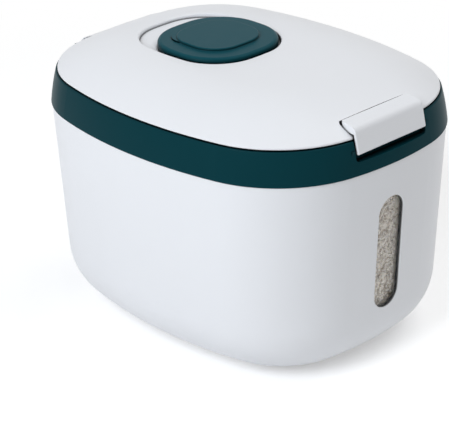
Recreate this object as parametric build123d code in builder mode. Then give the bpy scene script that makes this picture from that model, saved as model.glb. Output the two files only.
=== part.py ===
from build123d import *
from math import acos, atan2, cos, degrees, hypot, radians, sin, sqrt, tan
import os

# Rice bin with a hinged lid. Sizes are in millimetres. X runs across the bin, the front faces -Y,
# Z is up, and the origin is the middle of the floor that the bin stands on.

# Plan of the bin, at the lower edge of the collar
bin_width = 240.0
bin_length = 300.0
side_bow_radius = 355.0
end_bow_radius = 240.0
corner_radius = 86.0
flat_inset = 72.0

# Fits
bore_clearance = 0.05
running_gap = 0.4
seal_gap = 0.3
socket_clearance = 0.1

# Tub and feet
tub_height = 164.5
tub_wall = 3.0
wall_draft = 3.4
base_edge_radius = 48.0
foot_proud = 1.5
foot_socket = 1.4
foot_radius = 9.0
foot_spread_x = 84.0
foot_spread_y = 140.0

# Window in the front wall
window_width = 25.5
window_height = 91.0
window_middle = 93.5
window_edge_radius = 0.8
pane_set_back = 1.6
pane_flange = 1.6
pane_flange_lap = 5.0
gasket_thickness = 0.8
gasket_width = 4.0

# Collar round the mouth
collar_height = 25.1
collar_lean = 4.7
collar_bulge = 0.5
collar_overhang = 0.75
collar_edge_radius = 1.0
collar_foot_radius = 0.4
rim_width = 4.4
land_drop = 5.0
land_width = 7.0
land_thickness = 3.0
lip_depth = 4.0
lip_thickness = 2.4
spigot_depth = 12.0
spigot_wall = 2.6

# Lid
lid_gap = 1.2
lid_set_in = 1.4
lid_edge_height = 1.2
lid_edge_radius = 1.4
lid_crown = 19.9
lid_wall = 2.4
liner_wall = 1.8
liner_side_gap = 1.8
seal_width = 4.0
seal_rib = 1.2

# Screws that hold the liner up into the lid
screw_inset = 26.0
screw_radius = 1.5
screw_length = 7.0
screw_head_radius = 3.0
screw_head_height = 1.6
boss_radius = 4.0

# Rear hinge
hinge_back = 4.0
hinge_drop = 4.3
hinge_pin_radius = 1.5
hinge_barrel_radius = 2.8
hinge_ear_radius = 3.0
hinge_width = 71.0
hinge_ear_width = 5.0
hinge_ear_drop = 15.0
hinge_hood_run = 12.0

# Front latch
latch_width = 70.6
latch_seam_inset = 24.4
latch_corner_radius = 8.0
pocket_corner_radius = 4.4
latch_wall = 2.4
latch_bottom = 15.3
latch_crease_radius = 6.0
latch_inset = 3.0
latch_crease_back = 4.5
latch_fall = 1.0
latch_cheek = 2.4
latch_foot_radius = 1.0
latch_side_radius = 0.7
latch_barrel_radius = 3.4
latch_pin_radius = 0.9
latch_pin_length = 52.0
latch_lug_radius = 2.0
latch_lug_spread = 40.0
latch_lug_width = 5.0
latch_hook_height = 1.8
latch_floor = 1.6
latch_pocket_wall = 2.2
recess_width = 73.0
recess_bottom = 9.7
recess_depth = 8.2
recess_backing = 3.0
recess_corner_radius = 3.0
catch_width = 56.0
catch_height = 2.0
catch_reach = 1.2
hook_width = 52.0

# Cap of the freshness box in the lid
cap_width = 88.0
cap_length = 84.5
cap_bow_radius = 190.0
cap_corner_radius = 37.0
cap_proud = 3.0
cap_edge_radius = 3.0
cap_wall = 2.2
plateau_inset = 14.5
plateau_height = 2.2
plateau_edge_radius = 1.1
plateau_foot_radius = 1.0
well_depth = 3.7
well_side_gap = 1.6
well_front_gap = 2.0
scoop_length = 19.5
well_rear_inset = 58.95
well_floor = 4.4
well_edge_radius = 1.2
cap_hinge_inset = 4.0
cap_hinge_rise = 1.8
cap_pin_radius = 0.9
cap_pin_length = 36.0
cap_barrel_radius = 1.9
cap_lug_spread = 22.0
cap_lug_width = 3.6
cap_rib_width = 4.0
trench_width = 54.0

# Freshness box that hangs in the lid under the cap
box_width = 50.0
box_length = 42.0
box_set_back = 3.7
box_corner_radius = 10.0
box_depth = 22.0
box_wall = 1.6
box_flange_lap = 4.0
box_flange_thickness = 1.5
box_slot_length = 14.0
box_slot_width = 2.4
box_slot_pitch = 6.0
box_slot_rows = 5
cap_seal_width = 3.0
cap_seal_height = 2.1

# Heights that the sizes above add up to
base_z = foot_proud
rim_z = base_z + tub_height
collar_top = rim_z + collar_height
land_z = collar_top - land_drop
lid_edge_z = collar_top + lid_gap
lid_top = collar_top + lid_crown
well_z = lid_top - well_depth
cap_top = lid_top + cap_proud
half_width = bin_width / 2
half_length = bin_length / 2
lean_per_height = tan(radians(wall_draft))
lid_inset = collar_lean + lid_set_in
rim_inset = collar_lean + rim_width
mouth_inset = rim_inset + land_width
liner_inset = rim_inset + liner_side_gap


def bowed_arcs(half_x, half_y, bow_x, bow_y, corner):
    """Eight tangent arcs of a rounded rectangle with bowed sides, anticlockwise from its +X side.

    Each arc is its centre, its radius, the angle it starts at and the angle it turns through.
    """
    side_x = half_x - bow_x
    end_y = half_y - bow_y
    reach = bow_x - corner
    span = hypot(side_x, end_y)
    along = (reach**2 - (bow_y - corner) ** 2 + span**2) / (2 * span)
    across = sqrt(reach**2 - along**2)
    corner_x = side_x - along * side_x / span - across * end_y / span
    corner_y = along * end_y / span - across * side_x / span
    low = degrees(atan2(corner_y, corner_x - side_x))
    high = degrees(atan2(corner_y - end_y, corner_x))
    turn = high - low
    return [
        (side_x, 0, bow_x, -low, 2 * low),
        (corner_x, corner_y, corner, low, turn),
        (0, end_y, bow_y, high, 180 - 2 * high),
        (-corner_x, corner_y, corner, 180 - high, turn),
        (-side_x, 0, bow_x, 180 - low, 2 * low),
        (-corner_x, -corner_y, corner, 180 + low, turn),
        (0, -end_y, bow_y, 180 + high, 180 - 2 * high),
        (corner_x, -corner_y, corner, 360 - high, turn),
    ]


def bowed_face(arcs, inset=0.0):
    """The face inside the arcs, drawn in by the inset all the way round."""
    with BuildSketch() as face:
        with BuildLine():
            for centre_x, centre_y, radius, start, turn in arcs:
                CenterArc((centre_x, centre_y), radius - inset, start, turn)
        make_face()
    return face.sketch


def swept_ring(arcs, section):
    """A section, drawn as inset and height, carried round the arcs."""
    with BuildPart() as ring:
        for centre_x, centre_y, radius, start, turn in arcs:
            out_x = cos(radians(start))
            out_y = sin(radians(start))
            rim_point = (centre_x + radius * out_x, centre_y + radius * out_y, 0)
            with BuildSketch(Plane(rim_point, x_dir=(-out_x, -out_y, 0), z_dir=(-out_y, out_x, 0))):
                add(section)
            revolve(axis=Axis((centre_x, centre_y, 0), (0, 0, 1)), revolution_arc=turn)
    return ring.part


def wall_section(outside, inside):
    """Section of a layer of the tub's wall between two depths below the outer face."""
    outer_foot = collar_overhang + outside + (tub_height - outside) * lean_per_height
    inner_foot = collar_overhang + inside + (tub_height - inside) * lean_per_height
    with BuildSketch() as section:
        with BuildLine():
            FilletPolyline(
                (collar_overhang + outside, rim_z),
                (outer_foot, base_z + outside),
                (flat_inset, base_z + outside),
                (flat_inset, base_z + inside),
                (inner_foot, base_z + inside),
                (collar_overhang + inside, rim_z),
                radius=[0, base_edge_radius - outside, 0, 0, base_edge_radius - inside, 0],
                close=True,
            )
        make_face()
    return section.sketch


def on_front_face(edge):
    """Whether an edge runs along the outer face of the front wall."""
    middle = edge.center()
    face_y = half_length - collar_overhang - (rim_z - middle.Z) * lean_per_height
    return middle.Y < tub_wall / 4 - face_y


bin_arcs = bowed_arcs(half_width, half_length, side_bow_radius, end_bow_radius, corner_radius)
front_arcs = bin_arcs[5:8]
flat_middle = bowed_face(bin_arcs, flat_inset)

# Tub: a drafted wall that turns into the base with a large radius, with the window slot in front
window_plane = Plane.XZ.offset(half_length - base_edge_radius)

with BuildPart() as tub:
    add(swept_ring(bin_arcs, wall_section(0, tub_wall)))
    with BuildSketch(Plane.XY.offset(base_z)):
        add(flat_middle)
    extrude(amount=tub_wall)
    with BuildSketch(Plane.XY.offset(base_z)):
        with GridLocations(foot_spread_x, foot_spread_y, 2, 2):
            Circle(foot_radius + socket_clearance)
    extrude(amount=foot_socket, mode=Mode.SUBTRACT)
    with BuildSketch(window_plane):
        with Locations((0, window_middle)):
            SlotOverall(window_height, window_width, rotation=90)
    extrude(amount=base_edge_radius, mode=Mode.SUBTRACT)
    fillet(tub.edges(Select.LAST).filter_by(on_front_face), window_edge_radius)
tub.part.label = "tub"

# Feet: four soft pads seated in sockets under the base
with BuildPart() as foot_pads:
    with BuildSketch(Plane.XY):
        with GridLocations(foot_spread_x, foot_spread_y, 2, 2):
            Circle(foot_radius)
    extrude(amount=foot_proud + foot_socket)
    chamfer(foot_pads.faces().sort_by(Axis.Z)[:4].edges(), foot_proud / 3)
foot_pads.part.label = "foot_pads"

# Window: a clear plug with a flange inside the wall, and a gasket between flange and wall
flange_face = tub_wall + gasket_thickness

with BuildPart() as window_plug:
    with BuildSketch(window_plane):
        with Locations((0, window_middle)):
            SlotOverall(
                window_height - 2 * socket_clearance,
                window_width - 2 * socket_clearance,
                rotation=90,
            )
    extrude(amount=base_edge_radius)
    add(swept_ring(front_arcs, wall_section(pane_set_back, flange_face)), mode=Mode.INTERSECT)

with BuildPart() as window_flange:
    with BuildSketch(window_plane):
        with Locations((0, window_middle)):
            SlotOverall(window_height + 2 * pane_flange_lap, window_width + 2 * pane_flange_lap, rotation=90)
    extrude(amount=base_edge_radius)
    add(swept_ring(front_arcs, wall_section(flange_face, flange_face + pane_flange)), mode=Mode.INTERSECT)

with BuildPart() as window_pane:
    add(window_plug.part)
    add(window_flange.part)
window_pane.part.label = "window_pane"

with BuildPart() as window_gasket:
    with BuildSketch(window_plane):
        with Locations((0, window_middle)):
            SlotOverall(window_height + 2 * gasket_width, window_width + 2 * gasket_width, rotation=90)
            SlotOverall(window_height, window_width, rotation=90, mode=Mode.SUBTRACT)
    extrude(amount=base_edge_radius)
    add(
        swept_ring(front_arcs, wall_section(tub_wall + bore_clearance, flange_face - bore_clearance)),
        mode=Mode.INTERSECT,
    )
window_gasket.part.label = "window_gasket"

# Collar: a leaning band with a seal land and a drip lip inside, and a spigot that plugs into the tub
spigot_outer = collar_overhang + tub_wall + socket_clearance
spigot_inner = spigot_outer + spigot_wall
spigot_run = spigot_depth * lean_per_height
hinge_y = half_length - hinge_back
hinge_z = collar_top - hinge_drop
hinge_room_y = hinge_y - hinge_barrel_radius - running_gap
ear_inner = hinge_width / 2 + running_gap
recess_y = half_length - recess_depth
catch_y = recess_y + catch_reach

with BuildSketch() as collar_section:
    with BuildLine():
        ThreePointArc(
            (0, rim_z),
            (collar_lean / 2 - collar_bulge, (rim_z + collar_top) / 2),
            (collar_lean, collar_top),
        )
        Polyline(
            (collar_lean, collar_top),
            (rim_inset, collar_top),
            (rim_inset, land_z),
            (mouth_inset, land_z),
            (mouth_inset, land_z - land_thickness - lip_depth),
            (mouth_inset - lip_thickness, land_z - land_thickness - lip_depth),
            (mouth_inset - lip_thickness, land_z - land_thickness),
            (spigot_inner, land_z - land_thickness),
            (spigot_inner, rim_z),
            (spigot_inner + spigot_run, rim_z - spigot_depth),
            (spigot_outer + spigot_run, rim_z - spigot_depth),
            (spigot_outer, rim_z),
            (0, rim_z),
        )
    make_face()
    fillet(collar_section.vertices().group_by(Axis.Y)[-1], collar_edge_radius)
    fillet(collar_section.vertices().sort_by(Axis.X)[0], collar_foot_radius)

with BuildPart() as hinge_ear:
    with BuildSketch(Plane.YZ.offset(ear_inner)):
        with Locations((hinge_y, hinge_z)):
            Circle(hinge_ear_radius)
            Polygon(
                (-hinge_ear_radius, 0),
                (-hinge_ear_radius, -hinge_ear_drop),
                (hinge_ear_radius, 0),
                align=None,
            )
    extrude(amount=hinge_ear_width)

with BuildPart() as collar:
    add(swept_ring(bin_arcs, collar_section.sketch))
    with BuildSketch(Plane.XZ.offset(recess_y - recess_backing)):
        with Locations((0, (rim_z + land_z) / 2)):
            Rectangle(recess_width + 2 * recess_backing, land_z - rim_z - land_thickness)
    extrude(amount=recess_backing + spigot_wall)
    with BuildSketch(Plane.XZ.offset(recess_y)):
        with Locations((0, rim_z + recess_bottom)):
            RectangleRounded(
                recess_width,
                2 * collar_height,
                recess_corner_radius,
                align=(Align.CENTER, Align.MIN),
            )
    extrude(amount=2 * recess_depth, mode=Mode.SUBTRACT)
    with BuildSketch(Plane.XZ.offset(recess_y - lip_thickness)):
        with Locations((0, land_z - catch_height / 2)):
            Rectangle(catch_width, catch_height)
    extrude(amount=lip_thickness + catch_reach)
    with BuildSketch(Plane.XZ.offset(-hinge_room_y + recess_backing)):
        with Locations((0, (rim_z + land_z) / 2)):
            Rectangle(2 * ear_inner + 2 * recess_backing, land_z - rim_z - land_thickness)
    extrude(amount=-recess_backing - spigot_wall)
    with BuildSketch(Plane.XZ.offset(-hinge_room_y)):
        with Locations((0, hinge_z - hinge_barrel_radius - running_gap)):
            Rectangle(2 * ear_inner, collar_height, align=(Align.CENTER, Align.MIN))
    extrude(amount=-4 * hinge_ear_radius, mode=Mode.SUBTRACT)
    add(hinge_ear.part)
    mirror(hinge_ear.part, about=Plane.YZ)
    with BuildSketch(Plane.YZ):
        with Locations((hinge_y, hinge_z)):
            Circle(hinge_pin_radius + bore_clearance)
    extrude(amount=half_width, both=True, mode=Mode.SUBTRACT)
collar.part.label = "collar"

with BuildPart() as hinge_pin:
    with BuildSketch(Plane.YZ):
        with Locations((hinge_y, hinge_z)):
            Circle(hinge_pin_radius)
    extrude(amount=ear_inner + hinge_ear_width, both=True)
    chamfer(hinge_pin.edges().filter_by(GeomType.CIRCLE), hinge_pin_radius / 5)
hinge_pin.part.label = "hinge_pin"

# Lid: a crowned shell whose height depends only on how far in from the edge it is
crown_drop = lid_top - lid_edge_z - lid_edge_height
crown_span = flat_inset - lid_inset
crown_radius = (crown_span**2 + crown_drop**2) / (2 * crown_drop)
crown_centre_z = lid_top - crown_radius


def lid_skin(inset, depth=0.0):
    """Height of the crown, or of a layer below it, at an inset from the bin's outline."""
    return crown_centre_z + sqrt((crown_radius - depth) ** 2 - (flat_inset - inset) ** 2)


liner_top = lid_skin(liner_inset, lid_wall) - socket_clearance
liner_z = liner_top - liner_wall


def lid_form(depth, bottom, rounding=0.0):
    """The solid under the crown, or under a layer below it, down to a flat bottom."""
    edge = lid_inset + depth
    halfway = (edge + flat_inset) / 2
    with BuildSketch() as section:
        with BuildLine():
            Line((edge, bottom), (edge, lid_skin(edge, depth)))
            ThreePointArc(
                (edge, lid_skin(edge, depth)),
                (halfway, lid_skin(halfway, depth)),
                (flat_inset, lid_top - depth),
            )
            Polyline((flat_inset, lid_top - depth), (flat_inset, bottom), (edge, bottom))
        make_face()
        if rounding:
            fillet(section.vertices().sort_by(Axis.X)[:2].sort_by(Axis.Y)[-1], rounding)
    with BuildPart() as form:
        add(swept_ring(bin_arcs, section.sketch))
        with BuildSketch(Plane.XY.offset(bottom)):
            add(flat_middle)
        extrude(amount=lid_top - depth - bottom)
    return form.part


cap_back = half_length - well_rear_inset - scoop_length - cap_length / 2
cap_front = cap_back - cap_length / 2
box_back = cap_back + box_set_back
cap_arcs = bowed_arcs(cap_width / 2, cap_length / 2, cap_bow_radius, cap_bow_radius, cap_corner_radius)
well_width = cap_width + 2 * well_side_gap
well_length = cap_length + well_front_gap + scoop_length
well_back = cap_front - well_front_gap + well_length / 2
well_arcs = bowed_arcs(well_width / 2, well_length / 2, cap_bow_radius, cap_bow_radius, cap_corner_radius)
cap_hinge_y = cap_front + cap_hinge_inset
cap_hinge_z = well_z + cap_hinge_rise
skirt_swing = hypot(cap_hinge_inset, cap_hinge_rise - seal_gap)
trench_depth = skirt_swing + seal_gap - cap_hinge_rise
edge_centre_y = cap_hinge_inset - cap_edge_radius
edge_centre_z = cap_top - cap_edge_radius - cap_hinge_z
edge_swing = hypot(edge_centre_y, edge_centre_z) + cap_edge_radius
seam_y = half_length - latch_seam_inset
latch_y = -seam_y - running_gap - latch_barrel_radius
latch_z = lid_skin(latch_seam_inset) - latch_barrel_radius
latch_front = half_length - latch_inset
latch_foot_z = rim_z + latch_bottom
latch_top = latch_z + latch_barrel_radius
latch_crease_y = latch_front - latch_crease_back
latch_crease_z = latch_top - latch_fall
latch_lean = latch_crease_back / (latch_crease_z - latch_foot_z)
latch_room = latch_barrel_radius + running_gap
latch_lug_reach = latch_lug_radius + running_gap
pocket_floor_z = liner_top + latch_floor
cheek_z = pocket_floor_z + running_gap
screw_side = half_width - screw_inset
screw_corner = bin_arcs[1]
screw_turn = radians(screw_corner[3] + screw_corner[4] / 2)
screw_x = screw_corner[0] + (screw_corner[2] - screw_inset) * cos(screw_turn)
screw_y = screw_corner[1] + (screw_corner[2] - screw_inset) * sin(screw_turn)
screw_places = [
    (screw_side, 0),
    (-screw_side, 0),
    (screw_x, screw_y),
    (-screw_x, screw_y),
    (-screw_x, -screw_y),
    (screw_x, -screw_y),
]


def leg_inside(height):
    """How far in front of the middle the inner face of the latch's leg is at a height."""
    return latch_front - latch_wall - latch_lean * (height - latch_foot_z)


def latch_outline(margin, corner):
    """Plan of the latch, square at the front and rounded at the rear, grown by a margin."""
    latch_length = latch_front - seam_y - running_gap
    with BuildSketch() as outline:
        with Locations((0, -seam_y - running_gap + margin)):
            Rectangle(
                latch_width + 2 * margin,
                2 * latch_length + margin,
                align=(Align.CENTER, Align.MAX),
            )
        fillet(outline.vertices().group_by(Axis.Y)[-1], corner)
    return outline.sketch


with BuildPart() as latch_pocket:
    with BuildSketch(Plane.YZ):
        with Locations((latch_y, latch_z)):
            Circle(latch_room)
        with Locations((latch_y, pocket_floor_z)):
            Rectangle(2 * latch_seam_inset, 2 * lid_crown, align=(Align.MAX, Align.MIN))
        with Locations((latch_y, liner_top)):
            Rectangle(2 * latch_room, latch_z - liner_top, align=(Align.CENTER, Align.MIN))
    extrude(amount=latch_width, both=True)
    with BuildSketch(Plane.XY.offset(liner_z)):
        add(latch_outline(running_gap, pocket_corner_radius))
    extrude(amount=lid_crown + land_drop, mode=Mode.INTERSECT)
    with BuildSketch(Plane.XY.offset(liner_z)):
        with Locations((0, running_gap - leg_inside(pocket_floor_z))):
            Rectangle(
                latch_width + 2 * running_gap,
                latch_seam_inset,
                align=(Align.CENTER, Align.MAX),
            )
    extrude(amount=lid_crown)

with BuildPart() as latch_lugs:
    with BuildSketch(Plane.YZ):
        with Locations((latch_y, latch_z)):
            Circle(latch_lug_radius)
        with Locations((latch_y, liner_top)):
            Rectangle(2 * latch_lug_radius, latch_z - liner_top, align=(Align.CENTER, Align.MIN))
            Rectangle(2 * latch_room + latch_floor, latch_floor, align=(Align.CENTER, Align.MIN))
    extrude(amount=latch_lug_spread / 2 + latch_lug_width / 2, both=True)
    with BuildSketch(Plane.XY.offset(liner_top)):
        with Locations((0, latch_y)):
            Rectangle(latch_lug_spread - latch_lug_width, 4 * latch_room)
    extrude(amount=lid_crown, mode=Mode.SUBTRACT)
    with BuildSketch(Plane.YZ):
        with Locations((latch_y, latch_z)):
            Circle(latch_pin_radius + bore_clearance)
    extrude(amount=latch_width, both=True, mode=Mode.SUBTRACT)


def on_well_rim(edge):
    """Whether an edge runs round the top of the well in the lid."""
    return edge.center().Z > lid_top - well_depth / 2 and not edge.is_interior


with BuildPart() as lid_fittings:
    with BuildSketch(Plane.XY.offset(well_z - well_floor)):
        with Locations((0, well_back)):
            add(bowed_face(well_arcs, -lid_wall))
    extrude(amount=well_floor + well_depth)
    with BuildSketch(Plane.XY.offset(liner_top)):
        add(latch_outline(running_gap + latch_pocket_wall, pocket_corner_radius + latch_pocket_wall))
        with Locations(*screw_places):
            Circle(boss_radius)
    extrude(amount=lid_crown)
    add(lid_form(lid_wall / 2, lid_edge_z), mode=Mode.INTERSECT)

hood_lip_y = hinge_back - lid_inset
hood_lip_z = lid_skin(lid_inset) - hinge_z
hood_wrap = atan2(hood_lip_z, hood_lip_y) - acos(hinge_barrel_radius / hypot(hood_lip_y, hood_lip_z))

with BuildPart() as hinge_hood:
    with BuildSketch(Plane.YZ):
        with Locations((hinge_y, hinge_z)):
            Circle(hinge_barrel_radius)
            Polygon(
                (hinge_barrel_radius * cos(hood_wrap), hinge_barrel_radius * sin(hood_wrap)),
                (-hinge_barrel_radius, 0),
                (-hinge_barrel_radius, liner_top - hinge_z),
                (-hinge_hood_run, liner_top - hinge_z),
                (-hinge_hood_run, lid_skin(hinge_back + hinge_hood_run) - hinge_z - lid_wall / 2),
                (hood_lip_y, hood_lip_z),
                align=None,
            )
    extrude(amount=hinge_width / 2, both=True)

with BuildPart() as lid_shell:
    add(lid_form(0, lid_edge_z, lid_edge_radius))
    add(lid_form(lid_wall, lid_edge_z - lid_wall), mode=Mode.SUBTRACT)
    add(lid_fittings.part)
    add(hinge_hood.part)
    with BuildSketch(Plane.YZ):
        with Locations((hinge_y, hinge_z)):
            Circle(hinge_pin_radius + bore_clearance)
    extrude(amount=hinge_width, both=True, mode=Mode.SUBTRACT)
    add(latch_pocket.part, mode=Mode.SUBTRACT)
    add(latch_lugs.part)
    with BuildSketch(Plane.XY.offset(well_z)):
        with Locations((0, well_back)):
            add(bowed_face(well_arcs))
    extrude(amount=2 * well_depth, mode=Mode.SUBTRACT)
    fillet(lid_shell.edges(Select.LAST).filter_by(on_well_rim), well_edge_radius)
    with BuildSketch(Plane.XY.offset(well_z - trench_depth)):
        with Locations((0, cap_hinge_y + skirt_swing + running_gap)):
            Rectangle(
                trench_width,
                skirt_swing + edge_swing + 2 * running_gap,
                align=(Align.CENTER, Align.MAX),
            )
    extrude(amount=trench_depth, mode=Mode.SUBTRACT)
    with BuildSketch(Plane.XY.offset(well_z - well_floor)):
        with Locations((0, box_back)):
            RectangleRounded(
                box_width + 2 * socket_clearance,
                box_length + 2 * socket_clearance,
                box_corner_radius + socket_clearance,
            )
    extrude(amount=well_floor, mode=Mode.SUBTRACT)
    with BuildSketch(Plane.XY.offset(liner_top)):
        with Locations(*screw_places):
            Circle(screw_radius + bore_clearance)
    extrude(amount=screw_length, mode=Mode.SUBTRACT)
lid_shell.part.label = "lid_shell"

# Liner: the flat inner face of the lid, with two ribs that hold the seal over the collar's land
seal_outer = liner_inset + seal_rib
seal_inner = seal_outer + seal_width
rib_z = land_z + seal_gap + running_gap

with BuildPart() as lid_liner:
    with BuildSketch(Plane.XY.offset(liner_z)):
        add(bowed_face(bin_arcs, liner_inset))
        with Locations((0, box_back)):
            RectangleRounded(
                box_width + 2 * socket_clearance,
                box_length + 2 * socket_clearance,
                box_corner_radius + socket_clearance,
                mode=Mode.SUBTRACT,
            )
        with Locations(*screw_places):
            Circle(screw_radius + bore_clearance, mode=Mode.SUBTRACT)
    extrude(amount=liner_wall)
    with BuildSketch(Plane.XY.offset(rib_z)):
        add(bowed_face(bin_arcs, liner_inset))
        add(bowed_face(bin_arcs, seal_outer), mode=Mode.SUBTRACT)
        add(bowed_face(bin_arcs, seal_inner))
        add(bowed_face(bin_arcs, seal_inner + seal_rib), mode=Mode.SUBTRACT)
    extrude(amount=liner_z - rib_z)
lid_liner.part.label = "lid_liner"

with BuildPart() as lid_seal:
    with BuildSketch(Plane.XY.offset(land_z + seal_gap)):
        add(bowed_face(bin_arcs, seal_outer))
        add(bowed_face(bin_arcs, seal_inner), mode=Mode.SUBTRACT)
    extrude(amount=liner_z - land_z - seal_gap)
lid_seal.part.label = "lid_seal"

with BuildPart() as liner_screws:
    with BuildSketch(Plane.XY.offset(liner_z)):
        with Locations(*screw_places):
            Circle(screw_radius)
    extrude(amount=liner_wall + screw_length - screw_radius / 3)
    with BuildSketch(Plane.XY.offset(liner_z)):
        with Locations(*screw_places):
            Circle(screw_head_radius)
    extrude(amount=-screw_head_height)
    with BuildSketch(Plane.XY.offset(liner_z - screw_head_height)):
        with Locations(*screw_places):
            Rectangle(1.2 * screw_head_radius, screw_head_radius / 4)
            Rectangle(screw_head_radius / 4, 1.2 * screw_head_radius)
    extrude(amount=screw_head_height / 2, mode=Mode.SUBTRACT)
liner_screws.part.label = "liner_screws"

# Freshness box: slotted underneath, with a flange that rests on the floor of the well and two arms
# that reach forward from the flange to the cap's hinge pin
arm_root = box_back - box_length / 2
flange_front = arm_root - box_flange_lap

with BuildPart() as cap_arm:
    with BuildSketch(Plane.YZ.offset(cap_lug_spread / 2)):
        with Locations((cap_hinge_y, cap_hinge_z)):
            Circle(cap_barrel_radius)
        Polygon(
            (cap_hinge_y, well_z),
            (cap_hinge_y, cap_hinge_z + cap_barrel_radius),
            (flange_front, well_z + box_flange_thickness),
            (arm_root, well_z + box_flange_thickness),
            (arm_root, well_z),
            align=None,
        )
    extrude(amount=cap_lug_width / 2, both=True)
    with BuildSketch(Plane.YZ):
        with Locations((cap_hinge_y, cap_hinge_z)):
            Circle(cap_pin_radius + bore_clearance)
    extrude(amount=cap_lug_spread, mode=Mode.SUBTRACT)

with BuildPart() as fresh_box:
    with BuildSketch(Plane.XY.offset(well_z)):
        with Locations((0, box_back)):
            RectangleRounded(
                box_width + 2 * box_flange_lap,
                box_length + 2 * box_flange_lap,
                box_corner_radius + box_flange_lap,
            )
    extrude(amount=box_flange_thickness)
    with BuildSketch(Plane.XY.offset(well_z - box_depth)):
        with Locations((0, box_back)):
            RectangleRounded(box_width, box_length, box_corner_radius)
    extrude(amount=box_depth)
    add(cap_arm.part)
    mirror(cap_arm.part, about=Plane.YZ)
    with BuildSketch(Plane.XY.offset(well_z - box_depth + box_wall)):
        with Locations((0, box_back)):
            RectangleRounded(
                box_width - 2 * box_wall,
                box_length - 2 * box_wall,
                box_corner_radius - box_wall,
            )
    extrude(amount=box_depth, mode=Mode.SUBTRACT)
    with BuildSketch(Plane.XY.offset(well_z - box_depth)):
        with Locations((0, box_back)):
            with GridLocations(box_slot_length + box_slot_pitch, box_slot_pitch, 2, box_slot_rows):
                SlotOverall(box_slot_length, box_slot_width)
    extrude(amount=box_wall, mode=Mode.SUBTRACT)
fresh_box.part.label = "fresh_box"

# Latch: a plate that is flush with the lid at its rear, with a cheek at each side that fills the pocket,
# a leg over the collar, and a barrel along the rear edge
hook_top = land_z - catch_height - running_gap
hook_bottom = hook_top - latch_hook_height
hollow_z = cheek_z - latch_wall

with BuildPart() as latch:
    with BuildSketch(Plane.YZ):
        with BuildLine():
            FilletPolyline(
                (-latch_front, latch_foot_z),
                (-latch_crease_y, latch_crease_z),
                (latch_y, latch_top),
                (latch_y, cheek_z),
                (-leg_inside(cheek_z), cheek_z),
                (-leg_inside(latch_foot_z), latch_foot_z),
                radius=[latch_foot_radius, latch_crease_radius, 0, 0, 0, latch_foot_radius],
                close=True,
            )
        make_face()
    extrude(amount=latch_width / 2, both=True)
    fillet(latch.faces().filter_by(Axis.X).edges(), latch_side_radius)
    with BuildSketch(Plane.YZ):
        with BuildLine():
            FilletPolyline(
                (latch_y, latch_top - latch_wall),
                (latch_y, hollow_z),
                (-leg_inside(hollow_z), hollow_z),
                (-leg_inside(latch_crease_z - latch_wall), latch_crease_z - latch_wall),
                radius=[0, 0, 0, latch_crease_radius - latch_wall],
                close=True,
            )
        make_face()
    extrude(amount=latch_width / 2 - latch_cheek, both=True, mode=Mode.SUBTRACT)
    with BuildSketch(Plane.YZ):
        with Locations((latch_y, latch_z)):
            Circle(latch_barrel_radius)
    extrude(amount=latch_width / 2, both=True)
    with BuildSketch(Plane.XY.offset(rim_z)):
        add(latch_outline(0, latch_corner_radius))
    extrude(amount=2 * collar_height, mode=Mode.INTERSECT)
    with BuildSketch(Plane.YZ):
        Polygon(
            (-leg_inside(hook_top) - latch_wall / 2, hook_top),
            (-catch_y - running_gap, hook_top),
            (-catch_y - running_gap, hook_top - latch_hook_height / 2),
            (-leg_inside(hook_bottom) - latch_wall / 2, hook_bottom),
            align=None,
        )
    extrude(amount=hook_width / 2, both=True)
    with BuildSketch(Plane.YZ):
        with Locations((latch_y, latch_z)):
            Circle(latch_pin_radius + bore_clearance)
    extrude(amount=latch_pin_length / 2 + running_gap, both=True, mode=Mode.SUBTRACT)
    with BuildSketch(Plane.XY.offset(latch_z - 2 * latch_barrel_radius)):
        with Locations((latch_lug_spread / 2, latch_y), (-latch_lug_spread / 2, latch_y)):
            Rectangle(latch_lug_width + 2 * running_gap, 2 * latch_lug_reach)
            Rectangle(
                latch_lug_width + 2 * running_gap,
                2 * latch_barrel_radius,
                align=(Align.CENTER, Align.MIN),
            )
    extrude(amount=2 * latch_barrel_radius + latch_lug_reach, mode=Mode.SUBTRACT)
latch.part.label = "latch"

with BuildPart() as latch_pin:
    with BuildSketch(Plane.YZ):
        with Locations((latch_y, latch_z)):
            Circle(latch_pin_radius)
    extrude(amount=latch_pin_length / 2, both=True)
latch_pin.part.label = "latch_pin"

# Cap: a hollow bowed lid with a raised middle, hinged along its front edge
cap_foot_z = well_z + seal_gap
cap_skin_z = cap_top - cap_wall
plateau_top = cap_top + plateau_height
seat_z = well_z + box_flange_thickness + seal_gap + cap_seal_height
seal_lap = cap_seal_width + box_wall / 2
slot_width = cap_lug_width + 2 * running_gap
rib_start = cap_lug_spread / 2 + slot_width / 2
swing_room = cap_barrel_radius + running_gap

with BuildPart() as cap_rib:
    with BuildSketch(Plane.YZ.offset(rib_start)):
        with Locations((cap_hinge_y, cap_hinge_z)):
            Circle(cap_barrel_radius)
            Rectangle(
                2 * cap_barrel_radius,
                cap_top - cap_wall / 2 - cap_hinge_z,
                align=(Align.CENTER, Align.MIN),
            )
    extrude(amount=cap_rib_width)


def on_plateau_foot(edge):
    """Whether an edge runs round the foot of the cap's raised middle."""
    return abs(edge.center().Z - cap_top) < bore_clearance and edge.is_interior


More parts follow.
